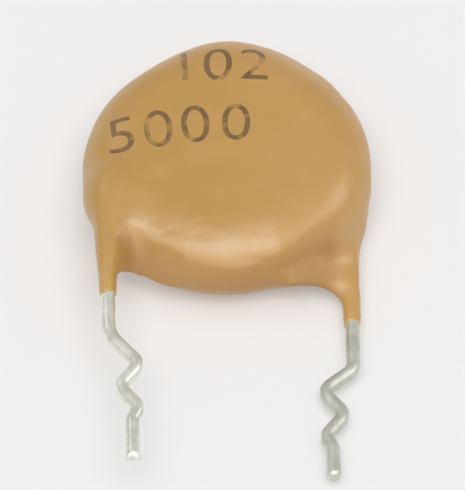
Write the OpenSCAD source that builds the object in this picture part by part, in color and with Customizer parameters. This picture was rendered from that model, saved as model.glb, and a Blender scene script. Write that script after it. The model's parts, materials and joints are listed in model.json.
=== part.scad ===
// Ceramic disc capacitor with a dipped resin coat and two crimped wire leads.
// Millimetres. It lies flat on its rear face.
// +Z is up from the rest face and +Y runs from the leads to the crown.
// The rear lead is the front lead's half turn about the Y axis.

/* [Ceramic disc] */
// Diameter of the bare ceramic disc
disc_d = 10.6; // [9.6:0.1:11.4]
// Thickness of the bare ceramic disc
disc_t = 1.6; // [1.2:0.1:2.4]
// Chamfer round both rims of the disc
disc_chamfer = 0.15; // [0.05:0.05:0.3]

/* [Electrodes and solder] */
// Diameter of each fired metal electrode
electrode_d = 9.4; // [7:0.1:9.6]
// Thickness of each electrode
electrode_t = 0.03; // [0.02:0.01:0.1]
// Diameter of each solder joint on its electrode
solder_d = 3; // [2.6:0.1:4]
// Height of each solder joint above its electrode
solder_h = 0.75; // [0.7:0.05:0.85]
// Solder left between the wire and its electrode
solder_gap = 0.02; // [0.01:0.01:0.06]
// Distance from the wire's buried end back to the middle of its solder joint
solder_back = 0.5; // [0.3:0.05:0.7]

/* [Lead wires] */
// Diameter of both lead wires
wire_d = 0.6; // [0.5:0.05:0.7]
// Distance between the leads where they leave the coat
lead_pitch = 10; // [9.6:0.1:10.6]
// Distance from the disc's centre line down to the inner bends
bend_drop = 2.4; // [2.1:0.1:2.9]
// Centre-line radius of the inner bend
inner_r = 1; // [0.7:0.1:1.4]
// Turn of the inner bend towards the disc's centre
inner_angle = 68; // [62:1:72]
// Length of wire from the inner bend to its buried end
inner_run = 5.2; // [4.6:0.1:5.6]
// Straight wire outside the coat before the first bend, front lead
front_exit = 1.6; // [1:0.1:6]
// Straight wire outside the coat before the first bend, rear lead
rear_exit = 2.2; // [1:0.1:6]
// Centre-line radius of the first bend, front lead
front_entry_r = 1.5; // [0.5:0.1:2]
// Centre-line radius of the first bend, rear lead
rear_entry_r = 0.7; // [0.5:0.1:2]
// Turn of the first bend, front lead
front_entry_angle = 40; // [25:1:60]
// Turn of the first bend, rear lead
rear_entry_angle = 52; // [25:1:60]
// Straight wire after the first bend, front lead
front_entry_run = 1; // [0.3:0.05:1.6]
// Straight wire after the first bend, rear lead
rear_entry_run = 0.85; // [0.3:0.05:1.6]
// Centre-line radius of the crimp bends
kink_r = 0.5; // [0.4:0.05:0.8]
// Slope of the crimp's straight runs to the lead's direction
kink_angle = 38; // [25:1:55]
// Length of the crimp's straight runs
kink_run = 0.65; // [0.3:0.05:1]
// Slope of the last run that brings the wire back to the tail
tail_angle = 26; // [15:1:45]
// Length of that last run
tail_run = 0.25; // [0.1:0.05:0.8]
// Straight tail of the front lead
front_tail = 1.9; // [1:0.1:25]
// Straight tail of the rear lead
rear_tail = 1.4; // [1:0.1:25]
// Bevel at the cut ends of the wires
tip_bevel = 0.06; // [0.02:0.02:0.12]

/* [Resin coat] */
// Resin beyond the disc's rim
rim_film = 0.65; // [0.5:0.05:0.9]
// Resin over the wire on each face
face_film = 0.4; // [0.3:0.05:0.6]
// Radial depth of the rounded edge of the coat
edge_depth = 2.4; // [2:0.1:3]
// Depth cut flat where the coat rests
rest_flat = 0.05; // [0.02:0.01:0.1]
// Length of the coated legs below the body's lower edge
leg_drop = 0.95; // [0.6:0.05:1.6]
// Resin round the wire at the end of a leg
leg_film = 0.08; // [0.06:0.01:0.2]
// Resin round the wire where a leg meets the body
root_film = 0.16; // [0.12:0.02:0.3]
// Width over which the front leg blends into the body
front_blend = 1.9; // [1.2:0.1:2.2]
// Width over which the rear leg blends into the body
rear_blend = 1.2; // [1:0.1:2.2]
// Height of the webs' hanging edges above the body's lower edge, at the leads
web_lift = 0.9; // [0.6:0.05:1.1]
// Drop of a web's hanging edge from its lead towards the middle
web_sag = 0.15; // [0.05:0.05:0.3]
// Length of each web from its lead towards the middle
web_reach = 2.4; // [2:0.1:2.8]
// Half thickness of each web
web_r = 0.24; // [0.22:0.01:0.28]
// Width over which a web blends into the body
web_blend = 0.9; // [0.6:0.05:1.2]
// Resin round the buried wire that shows as a low ridge on the face
ridge_film = 0.2; // [0.14:0.02:0.3]
// Width over which the ridge and the solder joint blend into the face
ridge_blend = 0.5; // [0.3:0.05:0.8]
// Depth of the drip's centre below the body's plain top edge
crown_in = 1.2; // [1:0.05:1.6]
// Sideways offset of the drip at the crown
crown_x = 0.1; // [-0.5:0.05:0.5]
// Radius of the drip at the crown
crown_r = 0.35; // [0.2:0.05:0.5]
// Width over which the drip blends into the body
crown_blend = 3.5; // [2.4:0.1:4]

/* [Coat mesh] */
// Spacing of the coat's mesh lines over the body
mesh_body = 0.42; // [0.4:0.02:0.6]
// Spacing of the coat's mesh lines across the legs
mesh_leg = 0.19; // [0.17:0.01:0.24]
// Spacing of the coat's mesh lines along the legs
mesh_row = 0.26; // [0.22:0.01:0.34]
// Spacing of the coat's mesh lines outside the legs and across the webs
mesh_side = 0.28; // [0.24:0.01:0.34]
// Spacing of the coat's mesh lines through the thickness
mesh_rise = 0.27; // [0.24:0.01:0.34]
// Room left round the coat in its mesh grid
mesh_room = 0.7; // [0.6:0.05:1]

/* [Hidden] */
$fn = 48;
wire_r = wire_d / 2;
electrode_z = disc_t / 2 + electrode_t;
lead_x = lead_pitch / 2;
lead_z = electrode_z + solder_gap + wire_r;
half_t = lead_z + wire_r + face_film;
mid_z = half_t - rest_flat;
coat_r = disc_d / 2 + rim_film;
flat_r = coat_r - edge_depth;
leg_reach = coat_r + leg_drop;
rise = leg_reach - bend_drop;
web_y = coat_r - web_lift;
crown_y = coat_r - crown_in;
solder_r = (solder_d * solder_d / 4 + solder_h * solder_h) / (2 * solder_h);
solder_z = electrode_z + solder_h - solder_r;
// Points of the front lead's buried run, in the disc's own frame
bend_half = inner_angle / 2;
leg_foot = [-lead_x, -leg_reach - wire_d, lead_z];
leg_head = [-lead_x, -bend_drop, lead_z];
bend_mid = [-lead_x + inner_r * (1 - cos(bend_half)), inner_r * sin(bend_half) - bend_drop, lead_z];
bend_out = [-lead_x + inner_r * (1 - cos(inner_angle)), inner_r * sin(inner_angle) - bend_drop, lead_z];
run_way = [sin(inner_angle), cos(inner_angle), 0];
run_out = bend_out + inner_run * run_way;
solder_at = bend_out + (inner_run - solder_back) * run_way;
leg_end_r = wire_r + leg_film;
leg_root_r = wire_r + root_film;
leg_foot_r = leg_end_r - (leg_root_r - leg_end_r) * wire_d / rise;
// Straight wire reaches this far into each bend, and the bent wire is drawn this much thinner
bend_lap = 0.03;
bend_slim = 0.003;

// Smaller of two distances, rounded over the width w
function blend(a, b, w) =
    let (h = max(w - abs(a - b), 0) / w)
    min(a, b) - h * h * w / 4;

// Distance from p to a tapered rod
function rod(p, a, b, ra, rb) =
    let (d = b - a)
    let (t = max(0, min(1, (p - a) * d / (d * d))))
    norm(p - a - t * d) - ra - t * (rb - ra);

// Distance from p to a flat three-cornered sheet
function sheet(p, a, b, c) =
    let (n = cross(b - a, c - a))
    let (in = min(cross(n, b - a) * (p - a), cross(n, c - b) * (p - b), cross(n, a - c) * (p - c)))
    in > 0 ? abs(n * (p - a)) / norm(n) :
    min(rod(p, a, b, 0, 0), rod(p, b, c, 0, 0), rod(p, c, a, 0, 0));

// Distance to the plain body: a disc with a rounded edge
function pill(p) =
    let (q = max(norm([p.x, p.y]) - flat_r, 0))
    let (u = norm([q / edge_depth, p.z / half_t]))
    let (v = norm([q / (edge_depth * edge_depth), p.z / (half_t * half_t)]))
    u < 0.01 ? -half_t : u * (u - 1) / v;

// Distance to the drip that hardened at the crown
function crown(p) = norm([p.x - crown_x, p.y - crown_y, 1.6 * p.z]) - crown_r;

// Distance to the front lead's coated leg
function leg(p) =
    min(rod(p, leg_foot, leg_head, leg_foot_r, leg_root_r),
        rod(p, leg_head, bend_mid, leg_root_r, leg_root_r));

// Distance to the web of resin between the front leg and the body
function web(p) =
    let (at = [wire_r - lead_x, -web_y, lead_z])
    sheet(p, leg_head + [wire_r, 0, 0], at, [web_reach - lead_x, -web_sag - web_y, 0]) - web_r;

// Distance to the low ridge over the buried wire and its solder joint
function ridge(p) =
    min(rod(p, bend_mid, bend_out, wire_r + ridge_film, wire_r + ridge_film),
        rod(p, bend_out, run_out, wire_r + ridge_film, wire_r + ridge_film),
        max(norm(p - [solder_at.x, solder_at.y, solder_z]) - solder_r - ridge_film, -p.z));

// What the front lead adds to a body of distance d, its leg blended over the width w
function dressed(d, p, w) =
    blend(blend(blend(d, leg(p), w), web(p), web_blend), ridge(p), ridge_blend);

// Distance to the whole coat
function coat_gap(p) =
    let (body = blend(pill(p), crown(p), crown_blend))
    dressed(dressed(body, p, front_blend), [-p.x, p.y, -p.z], rear_blend);

// Direction in which the distance to the coat grows
function coat_way(p, f) =
    let (e = 0.004)
    [coat_gap(p + [e, 0, 0]) - f, coat_gap(p + [0, e, 0]) - f, coat_gap(p + [0, 0, e]) - f] / e;

// Moves p onto the coat's surface in n steps
function settle(p, n) =
    n == 0 ? p :
    let (f = coat_gap(p))
    let (g = coat_way(p, f))
    settle(p - g * f / (g * g), n - 1);

// Even lines from a to b, b left out
function lines(a, b, gap) =
    let (n = max(1, round((b - a) / gap)))
    [for (i = [0:n - 1]) a + (b - a) * i / n];

side_in = lead_x - 1.25 * wire_d;
side_out = lead_x + 1.25 * wire_d;
web_in = lead_x - web_reach;
side_max = max(coat_r, side_out) + mesh_room;
leg_low = -leg_reach - wire_d - mesh_room;
leg_top = wire_d + web_r - web_y;
crown_top = coat_r + wire_d + mesh_room;
lid_z = half_t + max(front_blend, rear_blend) / 4 + mesh_rise;
grid_x = concat(lines(-side_max, -side_out, mesh_side), lines(-side_out, -side_in, mesh_leg),
    lines(-side_in, -web_in, mesh_side), lines(-web_in, web_in, mesh_body), lines(web_in, side_in, mesh_side),
    lines(side_in, side_out, mesh_leg), lines(side_out, side_max, mesh_side), [side_max]);
grid_y = concat(lines(leg_low, leg_top, mesh_row), lines(leg_top, crown_top, mesh_body), [crown_top]);
grid_z = concat(lines(-lid_z, lid_z, mesh_rise), [lid_z]);
nx = len(grid_x);
ny = len(grid_y);
nz = len(grid_z);
CORNERS = [for (a = [0, 1]) for (b = [0, 1]) for (c = [0, 1]) [a, b, c]];
EDGES = [for (a = [0:7]) for (b = [a + 1:1:7])
    if (norm(CORNERS[a] - CORNERS[b]) == 1) [CORNERS[a], CORNERS[b]]];

// Closed mesh on the coat's surface: one point in each cell that the surface crosses
module coat_body() {
    field = [for (x = grid_x) [for (y = grid_y) [for (z = grid_z) coat_gap([x, y, z])]]];
    function at(i, j, k) = [grid_x[i], grid_y[j], grid_z[k]];
    function filled(i, j, k) = field[i][j][k] < 0 ? 1 : 0;
    function cell(i, j, k) = (i * (ny - 1) + j) * (nz - 1) + k;
    crossed = [for (i = [0:nx - 2]) for (j = [0:ny - 2]) for (k = [0:nz - 2])
        let (n = [for (c = CORNERS) filled(i + c.x, j + c.y, k + c.z)] * [1, 1, 1, 1, 1, 1, 1, 1])
        n > 0 && n < 8 ? 1 : 0];
    count = [for (c = 0, n = 0; c < len(crossed); n = n + crossed[c], c = c + 1) n];
    function cuts(i, j, k) = [for (e = EDGES)
        let (a = field[i + e[0].x][j + e[0].y][k + e[0].z], b = field[i + e[1].x][j + e[1].y][k + e[1].z])
        if ((a < 0) != (b < 0))
            at(i + e[0].x, j + e[0].y, k + e[0].z) * (b / (b - a))
                - at(i + e[1].x, j + e[1].y, k + e[1].z) * (a / (b - a))];
    points = [for (i = [0:nx - 2]) for (j = [0:ny - 2]) for (k = [0:nz - 2])
        if (crossed[cell(i, j, k)] == 1)
            let (c = cuts(i, j, k))
            settle([for (m = c) 1] * c / len(c), 3)];
    function id(i, j, k) = count[cell(i, j, k)];
    function turned(q, f) = f < 0 ? [q[3], q[2], q[1], q[0]] : q;
    quads = concat(
        [for (i = [0:nx - 2]) for (j = [1:ny - 2]) for (k = [1:nz - 2])
            if (filled(i, j, k) != filled(i + 1, j, k))
                turned([id(i, j - 1, k - 1), id(i, j, k - 1), id(i, j, k), id(i, j - 1, k)], field[i][j][k])],
        [for (i = [1:nx - 2]) for (j = [0:ny - 2]) for (k = [1:nz - 2])
            if (filled(i, j, k) != filled(i, j + 1, k))
                turned([id(i - 1, j, k - 1), id(i - 1, j, k), id(i, j, k), id(i, j, k - 1)], field[i][j][k])],
        [for (i = [1:nx - 2]) for (j = [1:ny - 2]) for (k = [0:nz - 2])
            if (filled(i, j, k) != filled(i, j, k + 1))
                turned([id(i - 1, j - 1, k), id(i, j - 1, k), id(i, j, k), id(i - 1, j, k)], field[i][j][k])]);
    faces = [for (q = quads)
        let (short = norm(points[q[0]] - points[q[2]]) < norm(points[q[1]] - points[q[3]]))
        each short ? [[q[0], q[1], q[2]], [q[0], q[2], q[3]]]
            : [[q[0], q[1], q[3]], [q[1], q[2], q[3]]]];
    polyhedron(points, faces, convexity = 6);
}

// Wire that runs along -Y: each step is a straight run, a bend radius and a turn towards +X
module wire(steps, i = 0) {
    run = steps[i][0];
    r = steps[i][1];
    turn = steps[i][2];
    lap = i == 0 ? 0 : bend_lap;
    if (i < len(steps) - 1) {
        translate([0, lap, 0])
            rotate([90, 0, 0])
                cylinder(r = wire_r, h = lap + run + bend_lap);
        translate([0, -run, 0]) {
            translate([sign(turn) * r, 0, 0])
                rotate([0, 0, turn > 0 ? 180 : turn])
                    rotate_extrude(angle = abs(turn))
                        translate([r, 0])
                            circle(r = wire_r - bend_slim);
            translate([sign(turn) * r * (1 - cos(turn)), -r * sin(abs(turn)), 0])
                rotate([0, 0, turn])
                    wire(steps, i + 1);
        }
    } else {
        translate([0, lap, 0])
            rotate([90, 0, 0])
                rotate_extrude()
                    polygon([[0, 0], [wire_r, 0], [wire_r, lap + run - tip_bevel],
                        [wire_r - tip_bevel, lap + run], [0, lap + run]]);
    }
}

// One lead in the disc's own frame, from the solder joint to the tip
module lead(exit, entry_r, entry_angle, entry_run, tail) {
    translate(run_out)
        rotate([0, 0, -inner_angle])
            wire([
                [inner_run, inner_r, inner_angle],
                [rise + exit, entry_r, entry_angle],
                [entry_run, kink_r, -entry_angle - kink_angle],
                [kink_run, kink_r, 2 * kink_angle],
                [kink_run, kink_r, -kink_angle - tail_angle],
                [tail_run, kink_r, tail_angle],
                [tail, 0, 0]
            ]);
}

// Drop of solder over the end of the front lead, in the disc's own frame
module solder_drop() {
    intersection() {
        translate([solder_at.x, solder_at.y, solder_z])
            sphere(r = solder_r);
        translate([solder_at.x, solder_at.y, electrode_z])
            cylinder(d = 2 * solder_d, h = 2 * solder_h);
    }
}

module front_lead() {
    color([0.72, 0.72, 0.68])
        translate([0, 0, mid_z])
            lead(front_exit, front_entry_r, front_entry_angle, front_entry_run, front_tail);
}

module rear_lead() {
    color([0.66, 0.66, 0.62])
        translate([0, 0, mid_z])
            rotate([0, 180, 0])
                lead(rear_exit, rear_entry_r, rear_entry_angle, rear_entry_run, rear_tail);
}

module front_solder() {
    color([0.6, 0.6, 0.6])
        difference() {
            translate([0, 0, mid_z])
                solder_drop();
            front_lead();
        }
}

module rear_solder() {
    color([0.6, 0.6, 0.6])
        difference() {
            translate([0, 0, mid_z])
                rotate([0, 180, 0])
                    solder_drop();
            rear_lead();
        }
}

module ceramic_disc() {
    r = disc_d / 2;
    h = disc_t / 2;
    c = disc_chamfer;
    color([0.86, 0.8, 0.68])
        translate([0, 0, mid_z])
            rotate_extrude()
                polygon([[0, -h], [r - c, -h], [r, c - h], [r, h - c], [r - c, h], [0, h]]);
}

module front_electrode() {
    color([0.8, 0.8, 0.8])
        translate([0, 0, mid_z + disc_t / 2])
            cylinder(d = electrode_d, h = electrode_t);
}

module rear_electrode() {
    color([0.8, 0.8, 0.8])
        translate([0, 0, mid_z - electrode_z])
            cylinder(d = electrode_d, h = electrode_t);
}

module resin_coat() {
    cut = 4 * coat_r;
    color([0.75, 0.58, 0.3])
        difference() {
            translate([0, 0, mid_z])
                coat_body();
            translate([-cut / 2, -cut / 2, -cut])
                cube(cut);
            translate([-cut / 2, -leg_reach - cut, -cut / 2])
                cube(cut);
            ceramic_disc();
            front_electrode();
            rear_electrode();
            front_solder();
            rear_solder();
            front_lead();
            rear_lead();
        }
}

resin_coat();
ceramic_disc();
front_electrode();
rear_electrode();
front_solder();
rear_solder();
front_lead();
rear_lead();
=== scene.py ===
"""Ceramic disc capacitor: dipped resin coat, tinned leads and stamped numbers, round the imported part."""

import json
import math

import bmesh
import bpy
from bpy.props import FloatProperty, FloatVectorProperty, IntProperty, PointerProperty, StringProperty
from mathutils import Matrix, Quaternion, Vector, noise
from mathutils.bvhtree import BVHTree
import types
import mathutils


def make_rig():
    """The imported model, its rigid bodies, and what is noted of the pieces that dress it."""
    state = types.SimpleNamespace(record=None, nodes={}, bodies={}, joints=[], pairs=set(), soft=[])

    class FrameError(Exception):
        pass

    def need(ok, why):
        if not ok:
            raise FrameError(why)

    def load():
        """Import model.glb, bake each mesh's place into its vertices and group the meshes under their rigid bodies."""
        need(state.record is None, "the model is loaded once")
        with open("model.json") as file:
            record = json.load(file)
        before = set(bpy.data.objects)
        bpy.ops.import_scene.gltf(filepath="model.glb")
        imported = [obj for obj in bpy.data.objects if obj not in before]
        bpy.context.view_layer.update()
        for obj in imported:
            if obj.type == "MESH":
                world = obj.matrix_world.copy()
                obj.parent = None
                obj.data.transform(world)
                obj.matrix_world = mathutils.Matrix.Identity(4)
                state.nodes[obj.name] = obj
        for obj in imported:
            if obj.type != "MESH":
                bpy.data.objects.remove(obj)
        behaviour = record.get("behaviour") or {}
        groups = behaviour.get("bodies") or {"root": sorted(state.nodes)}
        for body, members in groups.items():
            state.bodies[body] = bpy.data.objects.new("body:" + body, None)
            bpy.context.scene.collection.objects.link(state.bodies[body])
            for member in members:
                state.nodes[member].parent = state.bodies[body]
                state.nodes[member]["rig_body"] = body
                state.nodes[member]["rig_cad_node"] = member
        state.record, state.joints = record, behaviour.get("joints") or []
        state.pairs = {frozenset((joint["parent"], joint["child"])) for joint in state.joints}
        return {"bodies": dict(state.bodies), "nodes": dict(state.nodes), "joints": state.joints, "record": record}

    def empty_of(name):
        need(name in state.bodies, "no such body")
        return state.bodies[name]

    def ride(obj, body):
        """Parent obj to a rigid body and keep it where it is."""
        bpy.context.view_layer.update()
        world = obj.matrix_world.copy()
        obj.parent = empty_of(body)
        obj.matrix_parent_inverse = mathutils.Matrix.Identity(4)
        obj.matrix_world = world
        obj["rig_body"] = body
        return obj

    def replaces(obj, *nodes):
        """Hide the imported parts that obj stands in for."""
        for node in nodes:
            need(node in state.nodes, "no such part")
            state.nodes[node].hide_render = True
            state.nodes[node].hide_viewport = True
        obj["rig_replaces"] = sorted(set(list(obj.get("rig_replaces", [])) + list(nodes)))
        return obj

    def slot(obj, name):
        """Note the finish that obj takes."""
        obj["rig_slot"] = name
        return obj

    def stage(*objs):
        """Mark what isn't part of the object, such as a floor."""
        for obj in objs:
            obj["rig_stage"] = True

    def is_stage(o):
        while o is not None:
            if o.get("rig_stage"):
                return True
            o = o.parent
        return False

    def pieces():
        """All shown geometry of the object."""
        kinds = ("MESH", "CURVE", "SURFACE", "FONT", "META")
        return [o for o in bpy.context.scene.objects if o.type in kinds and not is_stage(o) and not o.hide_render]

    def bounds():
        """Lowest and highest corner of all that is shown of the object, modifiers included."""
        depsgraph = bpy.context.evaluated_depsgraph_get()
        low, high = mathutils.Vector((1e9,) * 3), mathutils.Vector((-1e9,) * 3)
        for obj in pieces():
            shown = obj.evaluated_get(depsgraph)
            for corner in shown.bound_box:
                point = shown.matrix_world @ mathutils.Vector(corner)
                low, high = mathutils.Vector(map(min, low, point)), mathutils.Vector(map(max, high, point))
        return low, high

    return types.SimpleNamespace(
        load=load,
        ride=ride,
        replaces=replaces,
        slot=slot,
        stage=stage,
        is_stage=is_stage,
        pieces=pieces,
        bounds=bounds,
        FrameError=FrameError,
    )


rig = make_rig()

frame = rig.load()
CAD_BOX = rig.bounds()

bl_info = {
    "name": "Dipped disc capacitor",
    "version": (1, 0, 0),
    "blender": (4, 5, 0),
    "location": "View3D > Sidebar > Capacitor",
    "description": "Builds a resin-dipped ceramic disc capacitor with two crimped leads",
    "category": "Object",
}

MM = 0.001
BODY = "root"
BURIED = ("ceramic_disc", "front_electrode", "rear_electrode", "front_solder", "rear_solder",
          "front_lead", "rear_lead")
FRAME_PIXELS = (465, 490)
SENSOR = 36.0

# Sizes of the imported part, in millimetres
MID_Z = 1.80
LEAD_X = 5.0
LEAD_Z = 1.15
LEG_END_Y = -6.9
BEND_DROP = 2.4
INNER_R = 1.0
INNER_ANGLE = 68.0
INNER_RUN = 5.2
KINK_R = 0.5
KINK_ANGLE = 38.0
KINK_RUN = 0.65
TAIL_ANGLE = 26.0
TAIL_RUN = 0.25


def smoothstep(low, high, x):
    """Share from 0 to 1 of the way of x from low to high, eased at both ends."""
    t = min(max((x - low) / (high - low), 0.0), 1.0)
    return t * t * (3.0 - 2.0 * t)


def smooth(bm, verts, factor):
    """One round of smoothing: a positive factor draws the points in, a negative one swells them back."""
    bmesh.ops.smooth_vert(bm, verts=verts, factor=factor, use_axis_x=True, use_axis_y=True, use_axis_z=True)


def add_object(name, data):
    """Puts new data into the scene as an object at the origin."""
    thing = bpy.data.objects.new(name, data)
    bpy.context.scene.collection.objects.link(thing)
    return thing


def new_mesh(name, bm):
    """Turns a bmesh into mesh data."""
    mesh = bpy.data.meshes.new(name)
    bm.to_mesh(mesh)
    bm.free()
    return mesh


def new_piece(name, bm, material):
    """Turns a bmesh in metres into a smooth-shaded object that rides on the part."""
    for face in bm.faces:
        face.smooth = True
    mesh = new_mesh(name, bm)
    piece = add_object(name, mesh)
    mesh.materials.append(material)
    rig.ride(piece, BODY)
    return piece


def set_material(node_name, material):
    """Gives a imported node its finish."""
    node = frame["nodes"][node_name]
    if not node.material_slots:
        node.data.materials.append(material)
    for slot in node.material_slots:
        slot.material = material


# Materials


class Shader:
    """Short calls for wiring one material's nodes."""

    def __init__(self, name):
        self.material = bpy.data.materials.new(name)
        self.material.use_nodes = True
        self.tree = self.material.node_tree
        self.bsdf = self.tree.nodes["Principled BSDF"]
        self.place = self.tree.nodes.new("ShaderNodeTexCoord").outputs["Object"]

    def link(self, source, target):
        self.tree.links.new(source, target)

    def noise(self, size, detail, roughness, place=None):
        """Noise whose features are about that many millimetres across."""
        node = self.tree.nodes.new("ShaderNodeTexNoise")
        node.inputs["Scale"].default_value = 1.0 / (size * MM)
        node.inputs["Detail"].default_value = detail
        node.inputs["Roughness"].default_value = roughness
        self.link(place or self.place, node.inputs["Vector"])
        return node.outputs["Fac"]

    def stretched(self, scale):
        """Object coordinates stretched along the axes."""
        node = self.tree.nodes.new("ShaderNodeMapping")
        node.inputs["Scale"].default_value = scale
        self.link(self.place, node.inputs["Vector"])
        return node.outputs["Vector"]

    def ramp(self, source, low, high, from_value=0.0, to_value=1.0):
        """Eased ramp between two values while the source goes from low to high."""
        node = self.tree.nodes.new("ShaderNodeMapRange")
        node.interpolation_type = "SMOOTHSTEP"
        node.inputs["From Min"].default_value = low
        node.inputs["From Max"].default_value = high
        node.inputs["To Min"].default_value = from_value
        node.inputs["To Max"].default_value = to_value
        self.link(source, node.inputs["Value"])
        return node.outputs["Result"]

    def mix(self, factor, first, second):
        """Colour between two colours, each a socket or a tuple."""
        node = self.tree.nodes.new("ShaderNodeMix")
        node.data_type = "RGBA"
        self.link(factor, node.inputs["Factor"])
        for name, value in (("A", first), ("B", second)):
            socket = next(s for s in node.inputs if s.name == name and s.type == "RGBA")
            if isinstance(value, (tuple, list)):
                socket.default_value = (*value[:3], 1.0)
            else:
                self.link(value, socket)
        return next(s for s in node.outputs if s.type == "RGBA")

    def math(self, kind, *values):
        """A Math node of that kind over sockets and numbers."""
        node = self.tree.nodes.new("ShaderNodeMath")
        node.operation = kind
        for socket, value in zip(node.inputs, values):
            if isinstance(value, (int, float)):
                socket.default_value = value
            else:
                self.link(value, socket)
        return node.outputs[0]

    def product(self, share, *others):
        """Several shares multiplied together."""
        for other in others:
            share = self.math("MULTIPLY", share, other)
        return share

    def axis(self, name):
        """One object coordinate, in metres."""
        node = self.tree.nodes.new("ShaderNodeSeparateXYZ")
        self.link(self.place, node.inputs[0])
        return node.outputs[name]

    def seen(self):
        """One where the camera, a reflection or a clear body looks at the surface, nought for lighting."""
        path = self.tree.nodes.new("ShaderNodeLightPath")
        mirrored = self.math("MAXIMUM", path.outputs["Is Glossy Ray"], path.outputs["Is Transmission Ray"])
        return self.math("MAXIMUM", path.outputs["Is Camera Ray"], mirrored)

    def bump(self, height, depth):
        """Fine relief that is that many millimetres deep."""
        node = self.tree.nodes.new("ShaderNodeBump")
        node.inputs["Distance"].default_value = depth * MM
        self.link(height, node.inputs["Height"])
        self.link(node.outputs["Normal"], self.bsdf.inputs["Normal"])

    def set(self, **values):
        """Constants and links on the shader's own sockets."""
        for name, value in values.items():
            socket = self.bsdf.inputs[name.replace("_", " ")]
            if hasattr(value, "node"):
                self.link(value, socket)
            elif isinstance(value, (tuple, list)):
                socket.default_value = (*value[:3], 1.0)
            else:
                socket.default_value = value


# Where the resin changes colour or gloss, as ranges in millimetres: the rear lead's side is lighter with a painted
# sheen, and the lower edge is darker with painted shade
SIDE_SHEEN_ACROSS = (-4.5, 5.5)
LOWER_SHADE_OUT = (5.2, 6.0)
LOWER_SHADE_DOWN = (2.8, 4.3)
LOWER_SHADE_ASIDE = (4.8, 4.1)
LEG_ASIDE = (3.6, 4.7)
LEG_DOWN = (5.0, 6.7)
WEB_DOWN = (4.3, 5.2)
WEB_ASIDE = (2.2, 3.6)
WEB_END = (4.9, 4.1)

# How far the clouds in the resin shift those borders, in millimetres
SIDE_SHEEN_STRAY = 2.4
EDGE_SHADE_STRAY = 0.15

# Gloss of the resin: a roughness under 0.28 leaves specks in a denoised picture
RESIN_ROUGHNESS = (0.285, 0.345)
WEB_DULLING = 0.28
RESIN_IOR = 1.7
PEEL_DEPTH = 0.004


def place_on_coat(shader):
    """How far a point lies across the face, down it and to either side, in millimetres."""
    across = shader.math("MULTIPLY", shader.axis("X"), 1.0 / MM)
    down = shader.math("MULTIPLY", shader.axis("Y"), -1.0 / MM)
    return across, down, shader.math("ABSOLUTE", across)


def resin_colour(shader):
    """Ochre resin: a painted sheen that lightens the rear lead's side, painted shade that darkens the lower edge,
    lighter down the legs, faintly clouded.
    """
    coat = bpy.context.scene.capacitor_coat
    across, down, aside = place_on_coat(shader)
    stray = shader.ramp(shader.noise(3.4, 2.5, 0.45), 0.3, 0.7, -1.0, 1.0)
    side = shader.math("MULTIPLY_ADD", stray, SIDE_SHEEN_STRAY, across)
    # Painted sheen: the colour turns lighter across the face towards the rear lead's side, standing in for the gloss
    # that side catches
    tone = shader.mix(shader.ramp(side, *SIDE_SHEEN_ACROSS), tuple(coat.front_side_tone), tuple(coat.rear_side_sheen))
    # Painted shade: the resin is darker along the lower edge, where the face turns down and away from the light,
    # though not on the legs
    square = shader.math("MULTIPLY_ADD", down, down, shader.math("MULTIPLY", across, across))
    out = shader.math("MULTIPLY_ADD", stray, EDGE_SHADE_STRAY, shader.math("SQRT", square))
    edge = shader.product(shader.ramp(out, *LOWER_SHADE_OUT), shader.ramp(down, *LOWER_SHADE_DOWN),
                          shader.ramp(aside, *LOWER_SHADE_ASIDE))
    tone = shader.mix(edge, tone, tuple(coat.lower_edge_shade))
    legs = shader.product(shader.ramp(aside, *LEG_ASIDE), shader.ramp(down, *LEG_DOWN))
    tone = shader.mix(legs, tone, tuple(coat.leg))
    mottle = shader.noise(0.9, 3.0, 0.5)
    return shader.mix(shader.ramp(mottle, 0.45, 0.75, 0.0, 0.2), tone, tuple(coat.pale))


def resin_finish(shader):
    """Gloss of the resin: clouded here and there, duller on the webs, with an orange-peel skin."""
    _, down, aside = place_on_coat(shader)
    webs = shader.product(shader.ramp(down, *WEB_DOWN), shader.ramp(aside, *WEB_ASIDE),
                          shader.ramp(aside, *WEB_END))
    haze = shader.ramp(shader.noise(1.1, 4.0, 0.6), 0.3, 0.72, *RESIN_ROUGHNESS)
    shader.set(Roughness=shader.math("MULTIPLY_ADD", webs, WEB_DULLING, haze), IOR=RESIN_IOR)
    shader.bump(shader.noise(0.5, 1.0, 0.5), PEEL_DEPTH)


def resin_material():
    """Dipped ochre resin."""
    shader = Shader("ochre_resin")
    shader.set(Base_Color=resin_colour(shader))
    resin_finish(shader)
    return shader.material


def ink_material():
    """Worn stamp ink: broken so that the resin shows through it."""
    mark = bpy.context.scene.capacitor_mark
    shader = Shader("stamp_ink")
    fine = shader.noise(0.42, 2.0, 0.5)
    broad = shader.noise(1.3, 3.0, 0.5)
    cover = shader.math("ADD", fine, shader.ramp(broad, 0.3, 0.7, -mark.wear, 0.18))
    ink = shader.mix(shader.ramp(broad, 0.35, 0.65), tuple(mark.ink_full), tuple(mark.ink_thin))
    shader.set(Base_Color=shader.mix(shader.ramp(cover, 0.12, 0.55, 0.1, 0.95), resin_colour(shader), ink))
    resin_finish(shader)
    return shader.material


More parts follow.
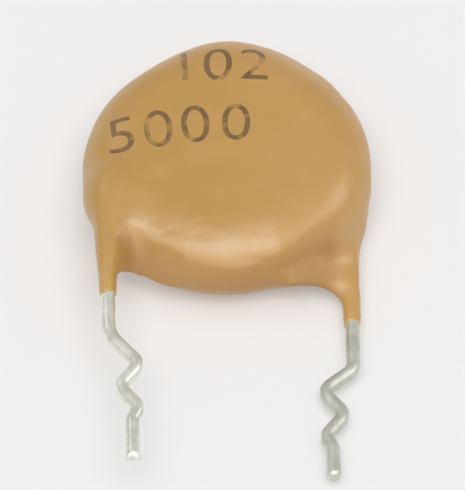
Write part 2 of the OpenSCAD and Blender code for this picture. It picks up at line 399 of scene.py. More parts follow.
def tin_material(name, bright, dull, shine):
    """Tinned wire: pale grey skin with drawn streaks, bright rubs and darker stains."""
    shader = Shader(name)
    along = shader.stretched((1.0, 0.16, 1.0))
    streaks = shader.noise(0.2, 2.0, 0.5, along)
    stains = shader.noise(0.7, 4.0, 0.6)
    tone = shader.mix(shader.ramp(stains, 0.35, 0.68), tuple(dull), tuple(bright))
    dark = tuple(0.7 * c for c in dull)
    tone = shader.mix(shader.ramp(streaks, 0.6, 0.8, 0.0, 0.25), tone, dark)
    shader.set(Base_Color=tone, Metallic=0.7)
    shader.set(Roughness=shader.ramp(streaks, 0.3, 0.7, shine, shine + 0.1))
    shader.bump(streaks, 0.0015)
    return shader.material


def ceramic_material():
    """Fired ceramic: matt cream with fine grain."""
    shader = Shader("fired_ceramic")
    grain = shader.noise(0.08, 4.0, 0.6)
    shader.set(Base_Color=shader.mix(grain, (0.72, 0.62, 0.47), (0.84, 0.76, 0.62)))
    shader.set(Roughness=shader.ramp(grain, 0.3, 0.7, 0.6, 0.8))
    shader.bump(grain, 0.006)
    return shader.material


def metal_material(name, light, dark, rough, grain_size):
    """Fired silver or solder: matt metal with a fine grain."""
    shader = Shader(name)
    grain = shader.noise(grain_size, 4.0, 0.6)
    shader.set(Base_Color=shader.mix(grain, dark, light), Metallic=1.0)
    shader.set(Roughness=shader.ramp(grain, 0.3, 0.7, rough, rough + 0.2))
    shader.bump(grain, 0.008)
    return shader.material


# Sizes and colours that a user would change


class CoatSettings(bpy.types.PropertyGroup):
    """Film, mesh and colours of the dipped coat"""

    mesh_step: FloatProperty(name="Mesh step", description="Spacing of the coat's mesh, in millimetres",
                             default=0.075, min=0.05, max=0.2)
    smooth_rounds: IntProperty(name="Smoothing", description="Rounds of smoothing that take out the facets",
                               default=24, min=4, max=60)
    settle_rounds: IntProperty(name="Settling", description="Rounds in which the film settles over facets",
                               default=10, min=0, max=20)
    level_rounds: IntProperty(name="Levelling", description="Rounds of levelling beside the legs",
                              default=40, min=0, max=60)
    corner: FloatProperty(name="Corners", description="Draw-back of the corners by the legs, in millimetres",
                          default=0.5, min=0.0, max=1.0)
    sag: FloatProperty(name="Sag", description="How far the webs beside the legs hang down, in millimetres",
                       default=0.18, min=0.0, max=0.4)
    wave: FloatProperty(name="Uneven film", description="Height of the film's broad waves, in millimetres",
                        default=0.035, min=0.0, max=0.1)
    dimple: FloatProperty(name="Dimples", description="Depth of the skin's small dimples, in millimetres",
                          default=0.012, min=0.0, max=0.05)
    crown_film: FloatProperty(name="Crown film", description="Extra film round the crown, in millimetres",
                              default=0.07, min=0.0, max=0.15)
    leg_film: FloatProperty(name="Leg film", description="Film missing outside the legs, in millimetres",
                            default=0.1, min=0.0, max=0.15)
    ragged: FloatProperty(name="Ragged ends", description="Unevenness of the legs' ends, in millimetres",
                          default=0.05, min=0.0, max=0.4)
    # Painted sheen: the rear lead's side gets a lighter colour than the front lead's side, standing in for the gloss
    # it catches
    front_side_tone: FloatVectorProperty(name="Olive side", description="Resin colour on the front lead's side",
                               subtype="COLOR", size=3, default=(0.545, 0.303, 0.073), min=0.0, max=1.0)
    rear_side_sheen: FloatVectorProperty(name="Ochre side", description="Resin colour on the rear lead's side",
                               subtype="COLOR", size=3, default=(0.585, 0.325, 0.092), min=0.0, max=1.0)
    # Painted shade: a darker colour along the lower edge, where the face turns down and away from the light
    lower_edge_shade: FloatVectorProperty(name="Lower edge", description="Resin colour along the lower edge",
                               subtype="COLOR", size=3, default=(0.46, 0.228, 0.054), min=0.0, max=1.0)
    leg: FloatVectorProperty(name="Legs", description="Resin colour of the thin film down the legs",
                             subtype="COLOR", size=3, default=(0.61, 0.355, 0.098), min=0.0, max=1.0)
    pale: FloatVectorProperty(name="Scuffs", description="Colour of the pale clouds and scuffs",
                              subtype="COLOR", size=3, default=(0.6, 0.365, 0.135), min=0.0, max=1.0)


class WireSettings(bpy.types.PropertyGroup):
    """Size and finish of the leads"""

    radius: FloatProperty(name="Radius", description="Radius of the wires, in millimetres",
                          default=0.3, min=0.25, max=0.35)
    lumps: FloatProperty(name="Uneven tin", description="Height of the lumps in the tin, in millimetres",
                         default=0.012, min=0.0, max=0.03)
    nick: FloatProperty(name="Tool marks", description="Depth of the crimping tool's flats, in millimetres",
                        default=0.03, min=0.0, max=0.08)
    bright: FloatVectorProperty(name="Bright tin", description="Colour of the rubbed tin",
                                subtype="COLOR", size=3, default=(0.92, 0.925, 0.84), min=0.0, max=1.0)
    dull: FloatVectorProperty(name="Dull tin", description="Colour of the tarnished tin",
                              subtype="COLOR", size=3, default=(0.72, 0.725, 0.645), min=0.0, max=1.0)


class MarkSettings(bpy.types.PropertyGroup):
    """Numbers and ink of the marking"""

    top: StringProperty(name="Upper row", description="Plain numbers near the crown", default="102")
    row: StringProperty(name="Lower row", description="Plain numbers across the face", default="5000")
    height: FloatProperty(name="Height", description="Height of the numbers, in millimetres",
                          default=2.0, min=1.0, max=3.0)
    wear: FloatProperty(name="Wear", description="How much of the ink has rubbed off",
                        subtype="FACTOR", default=0.2, min=0.0, max=0.5)
    ink_full: FloatVectorProperty(name="Ink", description="Colour of the full ink",
                                  subtype="COLOR", size=3, default=(0.15, 0.078, 0.022), min=0.0, max=1.0)
    ink_thin: FloatVectorProperty(name="Thin ink", description="Colour of the thin ink",
                                  subtype="COLOR", size=3, default=(0.2, 0.112, 0.036), min=0.0, max=1.0)


class StageSettings(bpy.types.PropertyGroup):
    """Floor and camera"""

    floor: FloatVectorProperty(name="Floor", description="Colour of the floor",
                               subtype="COLOR", size=3, default=(0.91, 0.902, 0.9), min=0.0, max=1.0)
    glow: FloatProperty(name="Backdrop white", description="Share of the floor's white that lifts shadows",
                        subtype="FACTOR", default=0.3, min=0.0, max=1.0)
    elevation: FloatProperty(name="Elevation", description="Camera's height above the horizon",
                             subtype="ANGLE", default=math.radians(53.5))
    roll: FloatProperty(name="Roll", description="Camera's turn about its own axis",
                        subtype="ANGLE", default=math.radians(-1.4))
    pixels: FloatProperty(name="Scale", description="Pixels of the picture to a millimetre", default=24.29)
    lens: FloatProperty(name="Lens", description="Focal length, in millimetres", default=1300.0)


# The coat

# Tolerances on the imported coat, in millimetres: doubled points, walls round the pieces inside, legs' ends
SAME_POINT = 2e-4
WALL_GAP = 0.035
END_GAP = 0.005


def buried_trees():
    """Search trees over the pieces that the coat covers."""
    trees = []
    for name in BURIED:
        mesh = frame["nodes"][name].data
        trees.append(BVHTree.FromPolygons([v.co for v in mesh.vertices], [p.vertices for p in mesh.polygons]))
    return trees


def outer_skin():
    """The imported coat's outside alone, closed across the legs' ends, in millimetres."""
    bm = bmesh.new()
    bm.from_mesh(frame["nodes"]["resin_coat"].data)
    bmesh.ops.remove_doubles(bm, verts=bm.verts[:], dist=SAME_POINT * MM)
    trees = buried_trees()
    end_y = (LEG_END_Y + END_GAP) * MM
    inside = []
    for face in bm.faces:
        middle = face.calc_center_median()
        if middle.y < end_y:
            inside.append(face)
        elif any(tree.find_nearest(middle, WALL_GAP * MM)[0] is not None for tree in trees):
            inside.append(face)
    bmesh.ops.delete(bm, geom=inside, context="FACES")
    rims = [e for e in bm.edges if e.is_boundary]
    bmesh.ops.holes_fill(bm, edges=rims, sides=0)
    bmesh.ops.triangulate(bm, faces=[f for f in bm.faces if len(f.verts) > 4])
    bmesh.ops.scale(bm, vec=(1.0 / MM,) * 3, verts=bm.verts[:])
    return bm


def evenly_meshed(bm, step):
    """The same shape as a bmesh of even small faces."""
    mesh = new_mesh("coat_blank", bm)
    blank = add_object("coat_blank", mesh)
    remesh = blank.modifiers.new("even_faces", "REMESH")
    remesh.mode = "VOXEL"
    remesh.voxel_size = step
    graph = bpy.context.evaluated_depsgraph_get()
    even = bmesh.new()
    even.from_mesh(blank.evaluated_get(graph).to_mesh())
    bpy.data.objects.remove(blank)
    bpy.data.meshes.remove(mesh)
    return even


# Where the film is thicker: over the crown, at its drip and down the sides, as ranges in millimetres
CROWN_UP = (-1.5, 3.0)
CROWN_ACROSS = (-1.0, 3.0)
CROWN_LEAST = 0.35
DRIP_ACROSS = (1.0, 2.6)
DRIP_UP = (3.2, 4.4)
DRIP_MORE = 1.3
SIDES_UP = (-3.2, -1.6)
SIDES_OUT = (3.4, 5.2)
SIDES_LEAST = 0.3
BELLY_DOWN = (0.4, -1.2)
FRONT_BELLY = 0.8
REAR_BELLY = 1.2

# Where it is thinner: outside the legs, as ranges in millimetres
WAIST_OUT = (4.6, 5.2)
WAIST_DOWN = (-2.0, -3.8)
FRONT_WAIST_UP = (-4.8, -3.2)
REAR_WAIST_UP = (-6.0, -5.0)


def film(p, coat):
    """Extra thickness of the film at a point, in millimetres: more over the crown, less outside the legs."""
    rear = p.x > 0
    spread = CROWN_LEAST + (1.0 - CROWN_LEAST) * smoothstep(*CROWN_ACROSS, p.x)
    crown = smoothstep(*CROWN_UP, p.y) * spread
    crown += DRIP_MORE * smoothstep(*DRIP_ACROSS, p.x) * smoothstep(*DRIP_UP, p.y)
    belly = smoothstep(*BELLY_DOWN, p.y) * (REAR_BELLY if rear else FRONT_BELLY)
    sides = smoothstep(*SIDES_UP, p.y) * smoothstep(*SIDES_OUT, abs(p.x)) * (SIDES_LEAST + belly)
    waist = smoothstep(*WAIST_OUT, abs(p.x)) * smoothstep(*WAIST_DOWN, p.y)
    waist *= smoothstep(*(REAR_WAIST_UP if rear else FRONT_WAIST_UP), p.y)
    return coat.crown_film * max(crown, sides) - coat.leg_film * waist


# Waves and dimples in the skin: how many to the millimetre, and where in the noise they are taken
BROAD = (0.42, Vector((3.1, 7.7, 1.3)))
MIDDLE = (0.95, Vector((11.0, 2.4, 5.0)))
SMALL = (2.6, Vector((4.0, 9.0, 2.0)))

# Tilts, from upright to level, that count as the face and as its lower shoulder, and where that shoulder is
FACE_TILT = (0.2, 0.8)
SHOULDER_TILT = (0.2, 0.55)
SHOULDER_DOWN = (-2.2, -4.2)


def waves(p, layer):
    """One layer of noise in the skin at a point."""
    rate, shift = layer
    return noise.noise(p * rate + shift)


def relief(p, normal, coat):
    """How far a point of the coat stands in or out, in millimetres."""
    face = smoothstep(*FACE_TILT, normal.z)
    shoulder = smoothstep(*SHOULDER_DOWN, p.y) * smoothstep(*SHOULDER_TILT, normal.z)
    wave = coat.wave * (0.6 * waves(p, BROAD) + 0.4 * waves(p, MIDDLE)) * (0.6 + 0.4 * face)
    dimples = coat.dimple * max(waves(p, SMALL), 0.0) * (0.1 + 1.5 * shoulder)
    return wave - dimples + film(p, coat) * (1.0 - face)


# Ends of the legs, in millimetres: the length that frays, and how much further the film runs down each lead
FRAY_LENGTH = 0.75
FRONT_RUN = 0.185
REAR_RUN = 0.26

# Share by which the film thins towards its end, and the mean of its raggedness
END_SLIM = 0.01
RAGGED_MEAN = 0.35


def frayed(p, coat):
    """Moves a point near the end of a leg, so that the resin thins out raggedly along the wire."""
    share = smoothstep(LEG_END_Y + FRAY_LENGTH, LEG_END_Y, p.y)
    if share == 0.0:
        return p
    side = -1.0 if p.x < 0 else 1.0
    axis = Vector((side * LEAD_X, 0.0, MID_Z - side * LEAD_Z))
    out = Vector((p.x - axis.x, p.z - axis.z))
    angle = out / max(out.length, 1e-6)
    uneven = noise.noise(Vector((angle.x * 1.1 + side * 5.0, angle.y * 1.1, 2.0)))
    uneven += 0.5 * noise.noise(Vector((angle.x * 2.7, angle.y * 2.7 + side * 3.0, 6.0)))
    p.y += share * (coat.ragged * (RAGGED_MEAN + uneven) - (FRONT_RUN if side < 0 else REAR_RUN))
    slim = 1.0 - END_SLIM * share
    p.x = axis.x + out.x * slim
    p.z = axis.z + out.y * slim
    return p


# Smoothing that keeps the volume: the two factors of a round
DRAW_IN = 0.5
SWELL = -0.52

# Corners beside the legs: the way they draw back, and where, as ranges in millimetres
BACK_AND_DOWN = Vector((0.0, 0.595, -0.804))
CORNER_FULL = 3.2
CORNER_DOWN = (-3.0, -4.4)
FRONT_CORNER_OUT = (5.1, 5.9)
FRONT_CORNER_GROWTH = 1.35
FRONT_CORNER_ACROSS = (-4.9, -3.7)
FRONT_CORNER_UP = (-0.6, 0.5)
REAR_CORNER_OUT = (5.2, 6.0)
REAR_CORNER_ACROSS = (5.1, 4.1)
REAR_CORNER_UP = (-0.2, 0.9)

# Webs beside the legs: where they hang down, as ranges in millimetres
SAG_DOWN = (-4.2, -5.3)
FRONT_SAG = 0.5
FRONT_SAG_FROM = (-2.8, -3.5)
FRONT_SAG_TO = (-4.8, -4.3)
REAR_SAG_FROM = (1.4, 2.6)
REAR_SAG_TO = (5.0, 4.5)

# Where the resin levels out, as ranges in millimetres and of tilt, its passes and the share that ridges sink
LEVEL_OUT = (1.6, 3.2)
LEVEL_DOWN = (-2.2, -3.6)
LEVEL_END = (-6.6, -5.8)
LEVEL_CLEAR = (0.4, 0.9)
LEVEL_TILT = (0.05, 0.4)
LEVEL_PASSES = 4
RIDGE_SINK = 0.6


class CAPACITOR_OT_dip_coat(bpy.types.Operator):
    """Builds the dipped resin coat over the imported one"""

    bl_idname = "capacitor.dip_coat"
    bl_label = "Dip the coat"

    def execute(self, context):
        coat = context.scene.capacitor_coat
        bm = evenly_meshed(outer_skin(), coat.mesh_step)
        for _ in range(coat.smooth_rounds):
            smooth(bm, bm.verts[:], DRAW_IN)
            smooth(bm, bm.verts[:], SWELL)
        for _ in range(coat.settle_rounds):
            smooth(bm, bm.verts[:], DRAW_IN)
        self.draw_back(bm, coat)
        self.level(bm, coat)
        bm.normal_update()
        low = [c / MM for c in CAD_BOX[0]]
        high = [c / MM for c in CAD_BOX[1]]
        moved = []
        for vert in bm.verts:
            p = vert.co + vert.normal * relief(vert.co, vert.normal, coat)
            p = frayed(p, coat)
            moved.append(Vector(min(max(c, a), b) for c, a, b in zip(p, low, high)))
        for vert, p in zip(bm.verts, moved):
            vert.co = p
        bmesh.ops.scale(bm, vec=(MM,) * 3, verts=bm.verts[:])
        bmesh.ops.recalc_face_normals(bm, faces=bm.faces[:])
        piece = new_piece("dipped_coat", bm, resin_material())
        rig.replaces(piece, "resin_coat")
        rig.slot(piece, "resin")
        return {"FINISHED"}

    @staticmethod
    def draw_back(bm, coat):
        """Draws the corners beside the legs back and down, clear of the disc's round shoulder."""
        for vert in bm.verts:
            x, y, z = vert.co
            up = z - MID_Z
            out = math.hypot(x, y)
            share = min(abs(x) / CORNER_FULL, 1.0) ** 2 * smoothstep(*CORNER_DOWN, y)
            if x < 0:
                growth = FRONT_CORNER_GROWTH * max(out - FRONT_CORNER_OUT[0], 0.0)
                share *= growth * smoothstep(*FRONT_CORNER_OUT, out)
                share *= smoothstep(*FRONT_CORNER_ACROSS, x) * smoothstep(*FRONT_CORNER_UP, up)
                sag = FRONT_SAG * smoothstep(*FRONT_SAG_FROM, x) * smoothstep(*FRONT_SAG_TO, x)
            else:
                share *= smoothstep(*REAR_CORNER_OUT, out)
                share *= smoothstep(*REAR_CORNER_ACROSS, x) * smoothstep(*REAR_CORNER_UP, up)
                sag = smoothstep(*REAR_SAG_FROM, x) * smoothstep(*REAR_SAG_TO, x)
            vert.co += BACK_AND_DOWN * (coat.corner * share)
            vert.co.y -= coat.sag * sag * smoothstep(*SAG_DOWN, y)

    @staticmethod
    def level(bm, coat):
        """Lets the resin level out in the corners beside the legs: hollows fill, and ridges sink a little."""
        bm.normal_update()
        corners = []
        for vert in bm.verts:
            x, y, z = vert.co
            side = -1.0 if x < 0 else 1.0
            clear = math.hypot(x - side * LEAD_X, z - MID_Z + side * LEAD_Z)
            share = smoothstep(*LEVEL_OUT, abs(x)) * smoothstep(*LEVEL_DOWN, y) * smoothstep(*LEVEL_END, y)
            share *= smoothstep(*LEVEL_CLEAR, clear) * smoothstep(*LEVEL_TILT, abs(vert.normal.z))
            if share > 0.0:
                corners.append((vert, share))
        verts = [vert for vert, _ in corners]
        for _ in range(coat.level_rounds):
            bm.normal_update()
            before = [(vert.co.copy(), vert.normal.copy()) for vert in verts]
            for _ in range(LEVEL_PASSES):
                smooth(bm, verts, DRAW_IN)
            for (vert, share), (old, normal) in zip(corners, before):
                sunk = (vert.co - old).dot(normal) < 0.0
                vert.co = old.lerp(vert.co, share * (RIDGE_SINK if sunk else 1.0))


# The leads

# Tips of the wires: lengths in millimetres, with the scale across and through the wire
PINCHED = ((0.05, 1.0, 0.95), (0.07, 1.02, 0.72), (0.07, 1.0, 0.5), (0.03, 0.8, 0.5))
ROUNDED = ((0.06, 0.97, 0.97), (0.07, 0.9, 0.9), (0.06, 0.78, 0.78), (0.03, 0.55, 0.55))

# Bends below each leg: run, radius and angle of the first bend, run out of the leg and length of the tail
FRONT_BENDS = (1.0, 1.5, 40.0, 1.6, 1.9)
REAR_BENDS = (0.85, 0.7, 52.0, 2.2, 1.4)

# Roughness of each lead's tin, and how much darker the rear one's two colours are
FRONT_SHINE = 0.28
REAR_SHINE = 0.38
REAR_BRIGHT = 0.74
REAR_DULL = 0.8

# Mesh of the wires: points in a ring, and its spacing in millimetres and round a bend in degrees
RING_POINTS = 28
RING_STEP = 0.1
BEND_STEP = 7.5

# Place in the noise that gives the rear lead lumps of its own
REAR_LUMPS = 40.0


def wire_steps(bends, tip):
    """Straight runs, bend radii and turns of one lead, from the solder joint to the tip."""
    entry_run, entry_r, entry_angle, exit_run, tail = bends
    rise = -LEG_END_Y - BEND_DROP
    return (
        (INNER_RUN, INNER_R, INNER_ANGLE),
        (rise + exit_run, entry_r, entry_angle),
        (entry_run, KINK_R, -entry_angle - KINK_ANGLE),
        (KINK_RUN, KINK_R, 2 * KINK_ANGLE),
        (KINK_RUN, KINK_R, -KINK_ANGLE - TAIL_ANGLE),
        (TAIL_RUN, KINK_R, TAIL_ANGLE),
        (tail - sum(length for length, _, _ in tip), 0.0, 0.0),
    )


def grow(bm, cap):
    """Extrudes the wire's end face on the spot and returns the new face and its ring."""
    walled = all(len(edge.link_faces) > 1 for edge in cap[0].edges)
    grown = bmesh.ops.extrude_face_region(bm, geom=cap)["geom"]
    if walled:
        bmesh.ops.delete(bm, geom=cap, context="FACES_ONLY")
    cap = [g for g in grown if isinstance(g, bmesh.types.BMFace)]
    ring = [g for g in grown if isinstance(g, bmesh.types.BMVert)]
    return cap, ring


def middle_of(ring):
    """Middle of a ring of points."""
    return sum((v.co for v in ring), Vector()) / len(ring)


def drawn_wire(steps, radius):
    """A wire along the steps, in millimetres round the disc's middle, and where the tool pressed it."""
    turn = math.radians(INNER_ANGLE)
    start = Vector((
        -LEAD_X + INNER_R * (1 - math.cos(turn)) + INNER_RUN * math.sin(turn),
        INNER_R * math.sin(turn) - BEND_DROP + INNER_RUN * math.cos(turn),
        LEAD_Z,
    ))
    way = Vector((-math.sin(turn), -math.cos(turn), 0.0))
    bm = bmesh.new()
    made = bmesh.ops.create_circle(bm, cap_ends=True, radius=radius, segments=RING_POINTS)
    bmesh.ops.rotate(bm, verts=made["verts"], cent=(0, 0, 0),
                     matrix=Vector((0, 0, 1)).rotation_difference(way).to_matrix())
    bmesh.ops.translate(bm, verts=made["verts"], vec=start)
    cap = bm.faces[:]
    ring = made["verts"]
    up = Vector((0, 0, 1))
    pressed = []
    for run, bend, angle in steps:
        count = max(2, round(run / RING_STEP))
        for _ in range(count):
            cap, ring = grow(bm, cap)
            bmesh.ops.translate(bm, verts=ring, vec=way * (run / count))
        if not bend:
            continue
        sign = 1.0 if angle > 0 else -1.0
        pivot = middle_of(ring) + up.cross(way) * (sign * bend)
        steps_round = max(4, round(abs(angle) / BEND_STEP))
        part = Matrix.Rotation(math.radians(angle) / steps_round, 3, up)
        for step in range(steps_round):
            cap, ring = grow(bm, cap)
            bmesh.ops.rotate(bm, verts=ring, cent=pivot, matrix=part)
            if step == steps_round // 2 and bend == KINK_R:
                centre = middle_of(ring)
                pressed.append((centre, (centre - pivot).normalized()))
        way = Matrix.Rotation(math.radians(angle), 3, up) @ way
    return bm, cap, pressed


class CAPACITOR_OT_draw_leads(bpy.types.Operator):
    """Draws both tinned leads with their crimps and cut ends"""

    bl_idname = "capacitor.draw_leads"
    bl_label = "Draw the leads"

    def execute(self, context):
        wire = context.scene.capacitor_wire
        bright = tuple(wire.bright)
        dull = tuple(wire.dull)
        tin = tin_material("tinned_wire", bright, dull, FRONT_SHINE)
        dark_bright = tuple(REAR_BRIGHT * c for c in bright)
        dark_dull = tuple(REAR_DULL * c for c in dull)
        dark_tin = tin_material("tarnished_wire", dark_bright, dark_dull, REAR_SHINE)
        leads = (
            ("front_lead", "tinned_wire", FRONT_BENDS, PINCHED, False, tin),
            ("rear_lead", "tinned_wire_dull", REAR_BENDS, ROUNDED, True, dark_tin),
        )
        for node, slot, bends, tip, turned, material in leads:
            bm, cap, pressed = drawn_wire(wire_steps(bends, tip), wire.radius)
            self.finish_tip(bm, cap, tip)
            self.press(bm, wire, pressed)
            self.rough_up(bm, wire, REAR_LUMPS if turned else 0.0)
            if turned:
                half_turn = Matrix.Rotation(math.pi, 3, "Y")
                bmesh.ops.rotate(bm, verts=bm.verts[:], cent=(0, 0, 0), matrix=half_turn)
            bmesh.ops.translate(bm, verts=bm.verts[:], vec=(0, 0, MID_Z))
            bmesh.ops.scale(bm, vec=(MM,) * 3, verts=bm.verts[:])
            bmesh.ops.recalc_face_normals(bm, faces=bm.faces[:])
            piece = new_piece("drawn_" + node, bm, material)
            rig.replaces(piece, node)
            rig.slot(piece, slot)
        return {"FINISHED"}

    @staticmethod
    def finish_tip(bm, cap, tip):
        """Carries the wire's end on by short lengths, each with its scale across and through the wire."""
        for length, across, through in tip:
            cap, ring = grow(bm, cap)
            bmesh.ops.translate(bm, verts=ring, vec=(0, -length, 0))
            to_middle = Matrix.Translation(-middle_of(ring))
            bmesh.ops.scale(bm, vec=(across, 1.0, through), space=to_middle, verts=ring)

    @staticmethod
    def press(bm, wire, pressed):
        """Small flats on the outside of the kinks, where the crimping tool pressed."""
        for centre, outward in pressed:
            for vert in bm.verts:
                off = vert.co - centre
                proud = off.dot(outward) - (wire.radius - wire.nick)
                if proud > 0 and off.length < 2 * wire.radius:
                    vert.co -= outward * (proud * smoothstep(2 * wire.radius, wire.radius, off.length))

    @staticmethod
    def rough_up(bm, wire, seed):
        """Uneven tin all along the wire."""
        bm.normal_update()
        shift = Vector((seed, 0.0, seed))
        for vert in bm.verts:
            lump = noise.noise(vert.co * 1.9 + shift) + 0.5 * noise.noise(vert.co * 5.5 + shift)
            vert.co += vert.normal * (wire.lumps * (lump - 0.5))


# The marking

# Height of a number against the font's size, and how far its strokes are thinned against its height
FONT_SHARE = 0.73
STROKE_THIN = -0.008

# The ink, in millimetres: spacing of its mesh, its thickness and how far it stands off the skin
INK_STEP = 0.1
INK_FILM = 0.008
INK_STAND = 0.004

# The least upward tilt of skin that takes ink, and the angle past which an edge of the ink is sharp
LEAST_TILT = 0.12
SHARP = 0.6


def glyph_mesh(text, height):
    """One printed number as a flat bmesh cut into small faces, in millimetres, its foot at the origin."""
    curve = bpy.data.curves.new("glyph", "FONT")
    curve.body = text
    curve.align_x = "CENTER"
    curve.size = height / FONT_SHARE
    curve.offset = STROKE_THIN * height
    curve.resolution_u = 8
    letter = add_object("glyph", curve)
    graph = bpy.context.evaluated_depsgraph_get()
    bm = bmesh.new()
    bm.from_mesh(letter.evaluated_get(graph).to_mesh())
    bpy.data.objects.remove(letter)
    bpy.data.curves.remove(curve)
    bmesh.ops.remove_doubles(bm, verts=bm.verts[:], dist=1e-4)
    for axis in (0, 1):
        normal = Vector((1 - axis, axis, 0))
        span = [v.co[axis] for v in bm.verts]
        place = min(span) + INK_STEP
        while place < max(span):
            bmesh.ops.bisect_plane(bm, geom=bm.verts[:] + bm.edges[:] + bm.faces[:], dist=1e-5,
                                   plane_co=normal * place, plane_no=normal)
            place += INK_STEP
    bmesh.ops.triangulate(bm, faces=bm.faces[:])
    return bm


# Foot of each number on the face: across, up and its slant in degrees
TOP_ROW = ((-1.62, 3.42, 2.0), (-0.28, 3.36, -1.0), (1.2, 3.36, -3.0))
MIDDLE_ROW = ((-4.25, -0.18, 4.0), (-2.75, 0.0, 2.0), (-1.2, 0.2, 3.0), (0.4, 0.22, -2.0))


class CAPACITOR_OT_stamp_numbers(bpy.types.Operator):
    """Stamps plain numbers on the front face in thin worn ink"""

    bl_idname = "capacitor.stamp_numbers"
    bl_label = "Stamp the numbers"

    def execute(self, context):
        mark = context.scene.capacitor_mark
        mesh = bpy.data.objects["dipped_coat"].data
        skin = BVHTree.FromPolygons([v.co / MM for v in mesh.vertices], [p.vertices for p in mesh.polygons])
        ink = bmesh.new()
        for text, feet in ((mark.top, TOP_ROW), (mark.row, MIDDLE_ROW)):
            for letter, (x, y, slant) in zip(text, feet):
                bm = glyph_mesh(letter, mark.height)
                bmesh.ops.rotate(bm, verts=bm.verts[:], cent=(0, 0, 0),
                                 matrix=Matrix.Rotation(math.radians(slant), 3, "Z"))
                bmesh.ops.translate(bm, verts=bm.verts[:], vec=(x, y, 0))
                self.lay_down(bm, skin)
                flat = new_mesh("glyph_flat", bm)
                ink.from_mesh(flat)
                bpy.data.meshes.remove(flat)
        bmesh.ops.solidify(ink, geom=ink.faces[:], thickness=INK_FILM)
        bmesh.ops.recalc_face_normals(ink, faces=ink.faces[:])
        for edge in ink.edges:
            edge.smooth = edge.calc_face_angle(0.0) < SHARP
        bmesh.ops.scale(ink, vec=(MM,) * 3, verts=ink.verts[:])
        new_piece("stamped_numbers", ink, ink_material())
        return {"FINISHED"}

    @staticmethod
    def lay_down(bm, skin):
        """Presses a flat number onto the coat along Z and drops what misses it."""
        missed = []
        for vert in bm.verts:
            spot, normal, _, _ = skin.ray_cast(Vector((vert.co.x, vert.co.y, 20.0)), Vector((0, 0, -1)))
            if spot is None or normal.z < LEAST_TILT:
                missed.append(vert)
            else:
                vert.co = spot + normal * INK_STAND
        bmesh.ops.delete(bm, geom=missed, context="VERTS")


# What the coat hides


class CAPACITOR_OT_finish_core(bpy.types.Operator):
    """Gives the disc, electrodes and solder inside the coat their finish"""

    bl_idname = "capacitor.finish_core"
    bl_label = "Finish the core"

    def execute(self, context):
        set_material("ceramic_disc", ceramic_material())
        silver = metal_material("fired_silver", (0.8, 0.79, 0.76), (0.62, 0.61, 0.58), 0.45, 0.12)
        solder = metal_material("solder", (0.62, 0.62, 0.6), (0.46, 0.46, 0.45), 0.3, 0.3)
        for side in ("front", "rear"):
            set_material(side + "_electrode", silver)
            set_material(side + "_solder", solder)
        return {"FINISHED"}


# The stage

# Point that the camera looks at, in millimetres
AIM = Vector((0.16, -3.76, MID_Z))

# The room's light and its strength
ROOM_COLOUR = (1.0, 0.985, 0.97, 1.0)
ROOM_LIGHT = 0.47

# The floor: half its width in metres, how far below the part it lies in millimetres, and its darker clouds
FLOOR_HALF = 3.0
FLOOR_GAP = 0.01
CLOUDED = 0.985

# Softboxes, and cards that show only in the gloss: name, azimuth, elevation, distance, size, radiance, lit
LIGHTS = (
    ("main_softbox", 2.0, 67.0, 1.0, (0.95, 0.4), 3.7, True),
    ("overhead_softbox", 0.0, 88.0, 1.0, (0.6, 0.5), 1.5, True),
    ("front_card", 0.0, 38.5, 1.05, (1.5, 0.58), 1.5, False),
    ("right_card", 94.0, 34.0, 1.0, (0.5, 0.42), 1.9, False),
    ("left_card", -58.0, 42.0, 1.0, (0.45, 0.5), 1.75, False),
    ("side_card", 58.0, 42.0, 1.0, (0.45, 0.5), 1.15, False),
    ("back_card", 222.0, 38.0, 1.0, (0.22, 0.3), 1.4, False),
)


def soft_light(name, azimuth, elevation, distance, size, radiance, lit):
    """A softbox or a card, as bright as it says against white paper's one."""
    lamp = bpy.data.lights.new(name, "AREA")
    lamp.shape = "RECTANGLE"
    lamp.size, lamp.size_y = size
    lamp.energy = radiance * math.pi * size[0] * size[1]
    light = add_object(name, lamp)
    a = math.radians(azimuth)
    e = math.radians(elevation)
    back = Vector((math.sin(a) * math.cos(e), -math.cos(a) * math.cos(e), math.sin(e)))
    light.location = back * distance
    light.rotation_mode = "QUATERNION"
    light.rotation_quaternion = (-back).to_track_quat("-Z", "Y")
    light.visible_camera = False
    light.visible_diffuse = lit


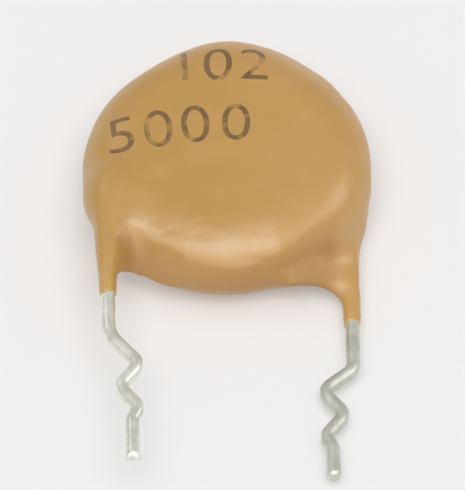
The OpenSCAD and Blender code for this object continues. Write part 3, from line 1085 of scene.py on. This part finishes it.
class CAPACITOR_OT_set_stage(bpy.types.Operator):
    """Sets the floor, the soft lights and the camera"""

    bl_idname = "capacitor.set_stage"
    bl_label = "Set the stage"

    def execute(self, context):
        stage = context.scene.capacitor_stage
        self.lay_floor(stage)
        self.light_up(context.scene)
        self.aim_camera(context.scene, stage)
        context.scene.view_settings.view_transform = "Standard"
        return {"FINISHED"}

    @staticmethod
    def lay_floor(stage):
        """A sheet of pale paper that keeps the part's shadow."""
        bm = bmesh.new()
        bmesh.ops.create_grid(bm, x_segments=8, y_segments=8, size=FLOOR_HALF)
        mesh = new_mesh("paper_floor", bm)
        floor = add_object("paper_floor", mesh)
        floor.location.z = -FLOOR_GAP * MM
        shader = Shader("pale_paper")
        cloud = shader.noise(9.0, 2.0, 0.5)
        tone = tuple(stage.floor)
        paper = shader.mix(cloud, tuple(CLOUDED * c for c in tone), tone)
        seen = shader.seen()
        dim = tuple((1.0 - stage.glow) * c for c in tone)
        dimmed = shader.mix(cloud, tuple(CLOUDED * c for c in dim), dim)
        shader.set(Base_Color=shader.mix(seen, paper, dimmed), Roughness=0.9)
        shader.set(Emission_Color=paper, Emission_Strength=shader.math("MULTIPLY", seen, stage.glow))
        mesh.materials.append(shader.material)
        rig.stage(floor)

    @staticmethod
    def light_up(scene):
        """Soft light from the room, the softboxes and the cards."""
        world = bpy.data.worlds.new("soft_room")
        world.use_nodes = True
        background = world.node_tree.nodes["Background"]
        background.inputs["Color"].default_value = ROOM_COLOUR
        background.inputs["Strength"].default_value = ROOM_LIGHT
        scene.world = world
        for light in LIGHTS:
            soft_light(*light)

    @staticmethod
    def aim_camera(scene, stage):
        """A long lens at the photograph's angle."""
        view = bpy.data.cameras.new("camera")
        view.sensor_width = SENSOR
        view.lens = stage.lens
        camera = add_object("camera", view)
        distance = max(FRAME_PIXELS) * stage.lens / SENSOR / stage.pixels
        back = Vector((0.0, -math.cos(stage.elevation), math.sin(stage.elevation)))
        camera.location = (AIM + back * distance) * MM
        camera.rotation_mode = "QUATERNION"
        camera.rotation_quaternion = (-back).to_track_quat("-Z", "Y") @ Quaternion((0, 0, 1), stage.roll)
        view.clip_start = 0.01
        view.clip_end = 20.0
        scene.camera = camera


class CAPACITOR_PT_sidebar(bpy.types.Panel):
    """Lists the capacitor's settings and steps"""

    bl_idname = "CAPACITOR_PT_sidebar"
    bl_label = "Disc capacitor"
    bl_space_type = "VIEW_3D"
    bl_region_type = "UI"
    bl_category = "Capacitor"

    def draw(self, context):
        for operator, settings in STEPS:
            box = self.layout.box()
            box.operator(operator.bl_idname)
            group = getattr(context.scene, settings, None) if settings else None
            for name in group.bl_rna.properties.keys() if group else ():
                if name not in ("rna_type", "name"):
                    box.prop(group, name)


STEPS = (
    (CAPACITOR_OT_dip_coat, "capacitor_coat"),
    (CAPACITOR_OT_draw_leads, "capacitor_wire"),
    (CAPACITOR_OT_stamp_numbers, "capacitor_mark"),
    (CAPACITOR_OT_finish_core, None),
    (CAPACITOR_OT_set_stage, "capacitor_stage"),
)
GROUPS = {
    "capacitor_coat": CoatSettings,
    "capacitor_wire": WireSettings,
    "capacitor_mark": MarkSettings,
    "capacitor_stage": StageSettings,
}
CLASSES = (*GROUPS.values(), *(operator for operator, _ in STEPS), CAPACITOR_PT_sidebar)


def register():
    for cls in CLASSES:
        bpy.utils.register_class(cls)
    for name, group in GROUPS.items():
        setattr(bpy.types.Scene, name, PointerProperty(type=group))


def unregister():
    for name in GROUPS:
        delattr(bpy.types.Scene, name)
    for cls in reversed(CLASSES):
        bpy.utils.unregister_class(cls)


def main():
    register()
    bpy.ops.capacitor.dip_coat()
    bpy.ops.capacitor.draw_leads()
    bpy.ops.capacitor.stamp_numbers()
    bpy.ops.capacitor.finish_core()
    bpy.ops.capacitor.set_stage()
    sizes = {
        "cad": [list(corner) for corner in CAD_BOX],
        "visual": [list(corner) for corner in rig.bounds()],
    }
    with open("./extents.json", "w") as out:
        json.dump(sizes, out)


if __name__ == "__main__":
    main()
